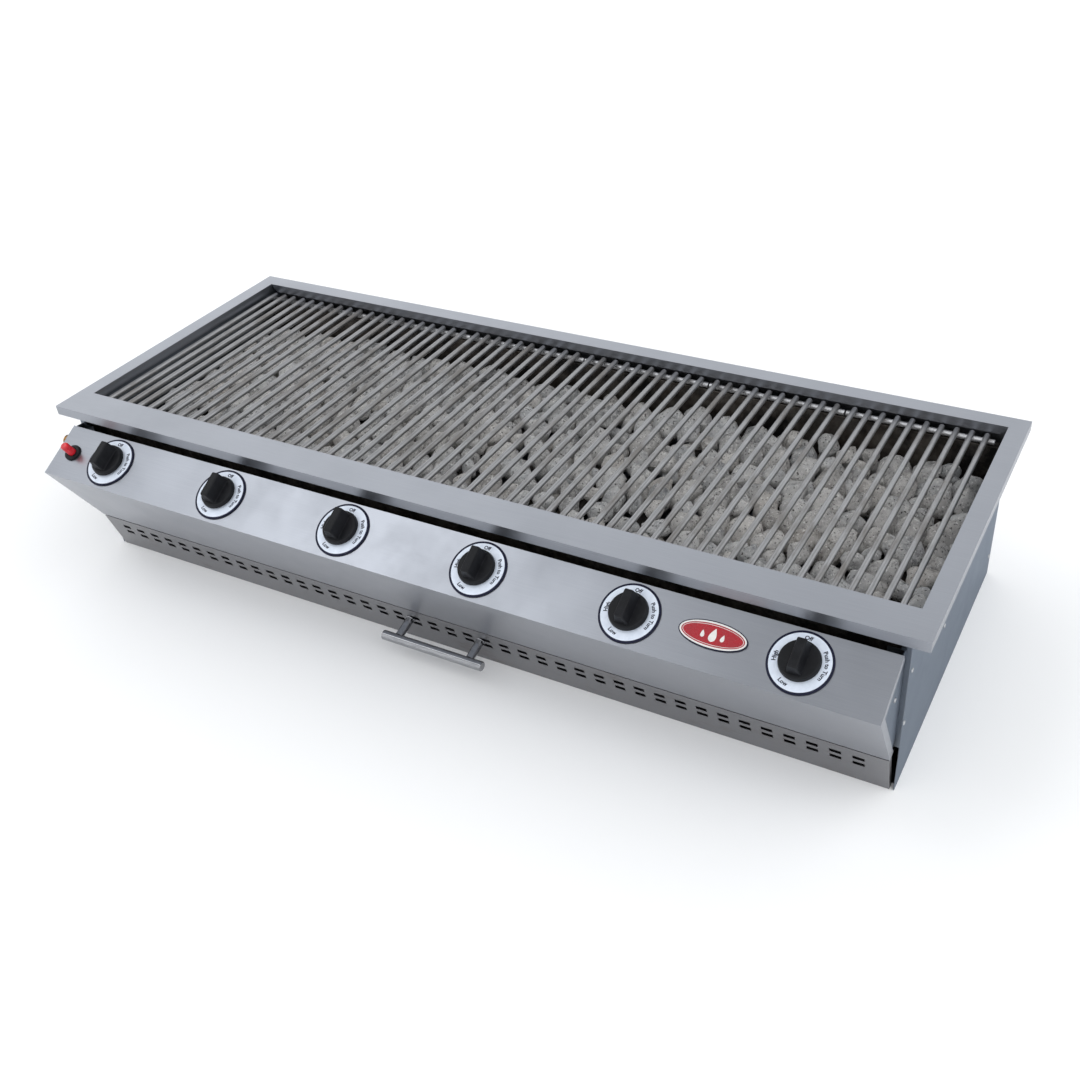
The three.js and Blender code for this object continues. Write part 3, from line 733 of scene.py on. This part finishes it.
def word(text):
    """Raised letters in millimetres, centred on the origin."""
    curve = bpy.data.curves.new(text, "FONT")
    curve.body = text
    curve.size = LETTER_SIZE
    curve.align_x = "CENTER"
    curve.align_y = "CENTER"
    curve.offset = 0.026 * LETTER_SIZE
    curve.extrude = 0.06
    curve.resolution_u = 2
    thing = object_of(text, curve)
    mesh = applied(thing, "UNION", [])
    bpy.data.objects.remove(thing)
    return np.array([tuple(v.co) for v in mesh.vertices]), [tuple(p.vertices) for p in mesh.polygons]


def bent(shape, radius, clockwise, tops_out):
    """A word laid along a circle, with its middle at an angle clockwise from the top."""
    vertices, faces = shape
    side = 1 if tops_out else -1
    reach = radius + side * vertices[:, 1]
    angle = math.radians(clockwise) + side * vertices[:, 0] / radius
    return np.stack((reach * np.sin(angle), reach * np.cos(angle), vertices[:, 2]), axis=1), faces


def dial_marks():
    return [
        shifted(bent(word(text), WORD_RADIUS, clockwise, tops_out), z=1.92)
        for text, clockwise, tops_out in WORDS
    ]


def dial(number, marks):
    """An enamelled plate with a dark rim and the words of its settings."""
    rim = lathe(
        [(9, 0.3), (37.2, 0.3), (37.9, 0.6), (38, 1.1), (37.9, 1.6), (37.6, 1.8), (35.1, 1.85)], 72
    )
    face = lathe([(9, 0.3), (9, 1.8), (35.1, 1.85)], 72)
    shapes = [(rim, DIAL_INK), (face, DIAL_FACE), *((mark, DIAL_INK) for mark in marks)]
    matrix = knob_place(number)
    parts = [(moved(part, matrix), look) for part, look in shapes]
    return piece(f"dial_{number}", parts, "casing", [f"dial_plate_{number}"])


def controls():
    knob = knob_mesh()
    knob.materials.clear()
    knob.materials.append(BLACK)
    smooth(knob, 38)
    marks = dial_marks()
    for number in range(1, BURNERS + 1):
        place = knob_place(number)
        mesh = knob.copy()
        mesh.transform(Matrix.Scale(MM, 4) @ place @ Matrix.Scale(1 / MM, 4))
        thing = object_of(f"knob_{number}", mesh)
        shading = thing.modifiers.new("shading", "WEIGHTED_NORMAL")
        shading.keep_sharp = True
        settle(thing, f"control_knob_{number}", [f"control_knob_{number}"])
        dial(number, marks)
        from_round_node(f"valve_stem_{number}", PLATED, f"valve_stem_{number}", bevel=0.4)


# ---- Igniter ----------------------------------------------------------------------------------


BUTTON_BOTTOM, BUTTON_TOP = -5.0, 22.0  # how far out of the panel the igniter's button lies


def igniter_place():
    """Axes at the panel's surface, under the button's middle."""
    button_middle = (BUTTON_BOTTOM + BUTTON_TOP) / 2
    return facing(middle("igniter_button") - button_middle * OUT_OF_PANEL, OUT_OF_PANEL)


def igniter():
    """A collar with its nut behind the panel, both open for the button that slides in them."""
    place = igniter_place()
    collar = lathe(
        [
            (6.5, -12), (6.5, 3.2), (7.2, 3.6), (10.8, 3.5), (12.0, 2.9), (12.5, 1.9), (12.5, 0.3),
            (8, 0.3), (8, -33.6), (7.4, -34), (0, -34), (0, -12), (6.5, -12),
        ],
        48,
    )
    nut = ribbon(ellipse(11.5, 11.5, 6), ellipse(7.6, 7.6, 6), -7, -1.6)
    button = lathe(
        [
            (0, BUTTON_BOTTOM), (5.6, BUTTON_BOTTOM), (5.9, -4.7), (5.9, 13.5),
            (5.6, 14.0), (5.6, 14.5), (6.0, 15.0),
            (6.0, 19.6), (5.6, 21.0), (4.6, 21.7), (2.6, BUTTON_TOP), (0, BUTTON_TOP),
        ],
        40,
    )
    parts = [(moved(shape, place), BLACK) for shape in (collar, nut)]
    piece("igniter_collar", parts, "casing", ["igniter_body"])
    tip = [(moved(button, place), RED)]
    piece("igniter_tip", tip, "igniter_button", ["igniter_button"])


# ---- Badge ------------------------------------------------------------------------------------


def badge():
    """A plain oval plaque: dark edge, pale border, red field, and three small flames."""
    place = facing(middle("badge") - 1.1 * OUT_OF_PANEL, OUT_OF_PANEL)
    half_width, half_height = 42.0, 17.0
    grow = lambda by: ellipse(half_width + by, half_height + by, 72)
    plate = prism(grow(-0.1), 0.3, 1.2)
    edge = ribbon(grow(0), grow(-1.3), 0.3, 1.75)
    border = ribbon(grow(-1.3), grow(-3.4), 0.8, 1.9)
    field = prism(grow(-3.4), 0.8, 1.5)
    line = ribbon(grow(-4.9), grow(-5.5), 1.4, 1.62)
    middle_flame = shifted(prism(flame(17, 9.0, 1.4), 1.45, 1.8), y=-8.5)
    small_flames = [
        shifted(prism(flame(9, 4.8, side * 0.8), 1.45, 1.75), side * 12, -5.5) for side in (-1, 1)
    ]
    shapes = [(plate, DIAL_INK), (edge, DIAL_INK)]
    shapes += [(border, BADGE_WHITE), (field, BADGE_RED), (line, BADGE_WHITE)]
    shapes += [(shape, BADGE_WHITE) for shape in (middle_flame, *small_flames)]
    parts = [(moved(shape, place), look) for shape, look in shapes]
    piece("plaque", parts, "casing", ["badge"], bevel=0.15)


# ---- Handle, screws and fittings ----------------------------------------------------------------


def handle():
    low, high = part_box("tray_handle_bar")
    half = (high.x - low.x) / 2 / MM
    centre = middle("tray_handle_bar")
    radius, chamfer = 6.8, 0.9
    profile = [(0, -half), (radius - chamfer, -half), (radius, -half + chamfer)]
    profile += [(radius, half - chamfer), (radius - chamfer, half), (0, half)]
    bar = shifted(moved(lathe(profile, 40), ALONG["x"]), *centre)
    replaced = ["tray_handle_bar"]
    piece("handle_bar", [(bar, POLISHED)], "drip_tray_unit", replaced, bevel=0.2)
    reach = 35.5
    for side in ("left", "right"):
        node = f"tray_handle_post_{side}"
        foot = Vector((middle(node).x, centre.y, centre.z)) - reach * OUT_OF_TRAY
        post = lathe([(0, 0.1), (6.5, 0.1), (6.5, 0.8), (5.9, 1.4), (5.9, 30.4), (0, 30.4)], 36)
        part = moved(post, facing(foot, OUT_OF_TRAY))
        piece(f"handle_post_{side}", [(part, POLISHED)], "drip_tray_unit", [node])


def pan_head(radius=3.1, height=1.5):
    """A screw head with a cross recess, outward along Z."""
    dome = [(radius, 0.2), (radius * 0.9, height * 0.7), (radius * 0.55, height), (0, height)]
    head = lathe([(0, -0.4), (radius, -0.4), *dome], 28)
    recess = [block((0.55, 2.4, 1.6), (0, 0, height)), block((2.4, 0.55, 1.6), (0, 0, height))]
    return shape_of(combined(head, recess, "DIFFERENCE"))


def screws():
    """The fixings of the side panels and of the brackets."""
    head = pan_head()
    side_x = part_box("right_side_panel")[1].x / MM
    bracket_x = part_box("right_panel_bracket")[1].x / MM
    spots = [
        (side_x, -19.4, 122.8), (side_x, -180.0, 184.2), (side_x, -187.0, 109.4),
        (bracket_x, -220.5, 171.3),
        (side_x, 252.0, 40.0), (side_x, 252.0, 184.2),
    ]
    for side, name in ((-1, "left"), (1, "right")):
        parts = []
        for x, y, z in spots:
            turn = Matrix.Rotation(math.radians(90 * side), 4, "Y")
            parts.append((moved(head, Matrix.Translation((side * x, y, z)) @ turn), PLATED))
        piece(f"side_screws_{name}", parts, "casing")


def gas_inlet():
    """A brass hexagon and a threaded nose at the left end of the manifold."""
    low, high = (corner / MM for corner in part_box("gas_inlet_fitting"))
    centre = (low + high) / 2
    length = high.x - low.x
    nose_length = 10.0
    threads = [(8.5 if i % 2 else 7.7, 0.6 + 0.55 * i) for i in range(15)]
    nose = lathe([(5, 3), (5, 0), (7.4, 0), *threads, (8.2, nose_length), (5, nose_length), (5, 3)], 36)
    nut = prism(ellipse(13.8, 13.8, 6), nose_length - 0.4, length)
    flank = [(13.8, nose_length + 1.4), (13.8, length - 1.2)]
    cone = lathe([(0, 5), (11.9, nose_length - 0.4), *flank, (12.2, length), (0, length + 4)], 48)
    collar = shape_of(combined(nut, [cone], "INTERSECT"))
    place = Matrix.Translation((low.x, centre.y, centre.z)) @ ALONG["x"]
    parts = [(moved(shape, place), BRASS) for shape in (nose, collar)]
    piece("gas_inlet", parts, "casing", ["gas_inlet_fitting"])


def gas_train():
    gas_inlet()
    from_round_node("gas_manifold", PLATED)
    for number in range(1, BURNERS + 1):
        from_round_node(f"gas_valve_{number}", BRASS)
        from_round_node(f"burner_{number}", HEAT_AND_SHADE_DARKENED)


# ---- Cooking grates -----------------------------------------------------------------------------

ROD_RADIUS = 4.0
RODS = 10
ROD_PITCH = 20.2
ROD_INSET = 1.0  # the rods end this far inside the crossbars' outer sides
BAR_OVERHANG = 11.6  # of the crossbars past the last rod; the leftmost grate's is less at its left


def cooking_grate(number):
    """Ten round rods on two round crossbars."""
    node = f"cooking_grate_{number}"
    low, high = (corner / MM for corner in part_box(node))
    last_rod = high.x - BAR_OVERHANG
    length = high.y - low.y - 2 * ROD_INSET
    parts = []
    for i in range(RODS):
        rod = moved(rounded_rod(ROD_RADIUS, length, 1.6), ALONG["y"])
        x = last_rod - i * ROD_PITCH + 0.25 * random.uniform(-1, 1)
        parts.append((shifted(rod, x, low.y + ROD_INSET, high.z - ROD_RADIUS), ROD_STEEL))
    for y in (low.y + ROD_RADIUS, high.y - ROD_RADIUS):
        bar = moved(rounded_rod(ROD_RADIUS, high.x - low.x, 0.8), ALONG["x"])
        parts.append((shifted(bar, low.x, y, low.z + ROD_RADIUS), BAR_STEEL_PAINTED_HIGHLIGHT))
    piece(f"grate_{number}", parts, node, [node])


# ---- Lava rocks -----------------------------------------------------------------------------------


TOP_LAYER = {"count": 330, "least": 14.0, "most": 26.0, "spread": 1.08, "top": 193.5, "uneven": 3.4}
LOWER_LAYER = {"count": 330, "least": 13.0, "most": 18.0, "spread": 1.1, "top": 177.0, "uneven": 2.0}
ROCK_GROUPS = 6
FARTHEST = 1.18  # a stone's surface reaches no farther than this share of its ball


def relaxed(count, sizes, low, high, rounds=160):
    """Discs spread over a rectangle until they hardly overlap."""
    places = random.uniform(low, high, (count, 2))
    for _ in range(rounds):
        gap = places[:, None] - places[None]
        distance = np.linalg.norm(gap, axis=2) + np.eye(count)
        overlap = np.clip(sizes[:, None] + sizes[None] - distance, 0, None)
        np.fill_diagonal(overlap, 0)
        places += (gap / distance[..., None] * overlap[..., None]).sum(axis=1) * 0.22
        places = np.clip(places, low + sizes[:, None], high - sizes[:, None])
    return places


def stone_shape(directions, faces):
    """A rounded block: planes at random round a ball, softened where they meet, then made uneven."""
    planes = random.normal(size=(9, 3))
    planes /= np.linalg.norm(planes, axis=1)[:, None]
    heights = random.uniform(0.66, 1.0, len(planes))
    softness = random.uniform(16, 32)
    closeness = np.clip(directions @ planes.T, 0, None) / heights
    total = np.maximum((closeness**softness).sum(axis=1), 1e-12)
    radius = np.minimum(total ** (-1 / softness), FARTHEST)
    points = directions * radius[:, None]
    offset = Vector(random.uniform(-50, 50, 3))
    rough = [
        0.06 * noise.noise(Vector(p) * 2.2 + offset) + 0.05 * noise.noise(Vector(p) * 6.0 + offset)
        for p in points
    ]
    points *= (1 + np.array(rough))[:, None]
    squash = np.array((1.0, random.uniform(0.76, 0.95), random.uniform(0.64, 0.85)))
    points *= squash
    return points / np.abs(points).max(), faces


def ball(subdivisions):
    work = bmesh.new()
    bmesh.ops.create_icosphere(work, subdivisions=subdivisions, radius=1.0)
    directions = np.array([v.co for v in work.verts])
    faces = [tuple(v.index for v in face.verts) for face in work.faces]
    work.free()
    return directions / np.linalg.norm(directions, axis=1)[:, None], faces


def any_turn():
    """A random rotation."""
    turn, triangular = np.linalg.qr(random.normal(size=(3, 3)))
    return turn * np.sign(np.diag(triangular))


def stone_layer(prototypes, bounds, count, least, most, spread, top, uneven):
    """Stones side by side, their tops near one height: (vertices, faces, tone) for each."""
    low, high = bounds
    sizes = random.uniform(least, most, count)
    places = relaxed(count, sizes, low, high)
    stones = []
    for size, (x, y) in zip(sizes, places):
        vertices, faces = prototypes[random.integers(len(prototypes))]
        vertices = vertices @ any_turn().T
        extent = np.abs(vertices[:, :2]).max()
        vertices = vertices * (size * spread / extent)
        vertices[:, 2] *= min(1.0, most / vertices[:, 2].max())
        height = top + random.normal() * uneven - vertices[:, 2].max()
        tone = (random.beta(2.2, 2.0), random.beta(1.3, 2.6), random.uniform(), 1.0)
        stones.append((vertices + np.array((x, y, height)), faces, tone))
    return stones


def lava_rocks():
    low, high = (np.array(corner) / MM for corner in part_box("lava_rock_bed"))
    area = (low[:2] + 0.5, high[:2] - 0.5)
    fine, coarse = ball(3), ball(2)
    top = [stone_shape(*fine) for _ in range(36)]
    lower = [stone_shape(*coarse) for _ in range(14)]
    stones = stone_layer(top, area, **TOP_LAYER)
    stones += stone_layer(lower, area, **LOWER_LAYER)
    width = (high[0] - low[0]) / ROCK_GROUPS
    for group in range(ROCK_GROUPS):
        inside = [
            stone
            for stone in stones
            if group == min(ROCK_GROUPS - 1, int((stone[0][:, 0].mean() - low[0]) / width))
        ]
        shape = merged([(vertices, faces) for vertices, faces, _ in inside])
        mesh = mesh_of(f"lava_rocks_{group + 1}", shape)
        mesh.materials.append(ROCK)
        mesh.shade_smooth()
        tones = np.concatenate([np.tile(tone, (len(vertices), 1)) for vertices, _, tone in inside])
        attribute = mesh.attributes.new("stone", "FLOAT_COLOR", "POINT")
        attribute.data.foreach_set("color", tones.astype(np.float32).ravel())
        settle(object_of(mesh.name, mesh), "casing", ["lava_rock_bed"])


# ---- Camera, light and floor ------------------------------------------------------------------------


def camera():
    """The photograph's view, from the lens, shift and axes that were solved for it."""
    data = bpy.data.cameras.new("camera")
    data.lens = 40.31
    data.sensor_width = 36.0
    data.shift_x = -0.0559
    data.shift_y = 0.0122
    right = Vector((0.88487, 0.46254, -0.05534))
    up = Vector((-0.23961, 0.55379, 0.79744))
    thing = object_of("camera", data)
    matrix = Matrix((right, up, right.cross(up))).transposed().to_4x4()
    matrix.translation = Vector((0.82515, -1.18933, 1.10581))
    thing.matrix_world = matrix
    bpy.context.scene.camera = thing


def unit(azimuth, elevation):
    """A direction; azimuth 0 is +Y and 90 is +X, in degrees."""
    across, up = math.radians(azimuth), math.radians(elevation)
    return (math.sin(across) * math.cos(up), math.cos(across) * math.cos(up), math.sin(up))


def glow(tree, direction, azimuth, elevation, inner, outer, strength):
    """A soft round light in the sky, full out to inner degrees and gone at outer."""
    node = add(tree, "VectorMath", {0: direction, 1: unit(azimuth, elevation)}, operation="DOT_PRODUCT")
    edges = [math.cos(math.radians(angle)) for angle in (outer, inner)]
    value = node.outputs["Value"]
    inputs = {"Value": value, "From Min": edges[0], "From Max": edges[1], "To Max": strength}
    return add(tree, "MapRange", inputs, interpolation_type="SMOOTHSTEP").outputs["Result"]


LIGHTS = (  # azimuth, elevation, and where each is full and gone, in degrees; then its strength
    (-106, 55, 2, 15, 2.7),
    (-98, 36, 3, 15, -0.6),
    (-46, 31, 3, 24, 0.2),
    (110, 60, 15, 50, 0.9),
)
FLOOR_HALF = 20000.0


def studio():
    """A white sky, darker overhead, with soft lights to the left, behind and to the right."""
    world = bpy.data.worlds.new("studio")
    world.use_nodes = True
    bpy.context.scene.world = world
    tree = world.node_tree
    direction = add(tree, "TexCoord").outputs["Generated"]
    height = add(tree, "SeparateXYZ", {"Vector": direction}).outputs["Z"]
    low = ramp(tree, height, 0.60, 0.80, 1.26, 0.66)
    sky = maths(tree, "SUBTRACT", low, ramp(tree, height, 0.80, 1.0, 0.0, 0.46))
    for light in LIGHTS:
        sky = maths(tree, "ADD", sky, glow(tree, direction, *light))
    background = tree.nodes["Background"]
    background.inputs["Color"].default_value = (0.97, 0.985, 1.0, 1.0)
    tree.links.new(sky, background.inputs["Strength"])

    floor_look, tree, inputs = new_look("floor", roughness=0.9)
    mottle = clouds(tree, 2.0, detail=3.0)
    join_to(tree, inputs, Base_Color=mix(tree, mottle, (0.955, 0.955, 0.958), (0.97, 0.97, 0.97)))
    corners = np.array([(-1, -1, 0), (1, -1, 0), (1, 1, 0), (-1, 1, 0)]) * FLOOR_HALF
    mesh = mesh_of("floor", (corners, [(0, 1, 2, 3)]))
    mesh.materials.append(floor_look)
    object_of("floor", mesh)
    bpy.context.scene.view_settings.view_transform = "Standard"


# ---- The whole grill ----------------------------------------------------------------------------------

camera()
studio()
casing_sheets()
tray()
controls()
igniter()
badge()
handle()
screws()
gas_train()
for number in range(1, BURNERS + 1):
    cooking_grate(number)
lava_rocks()
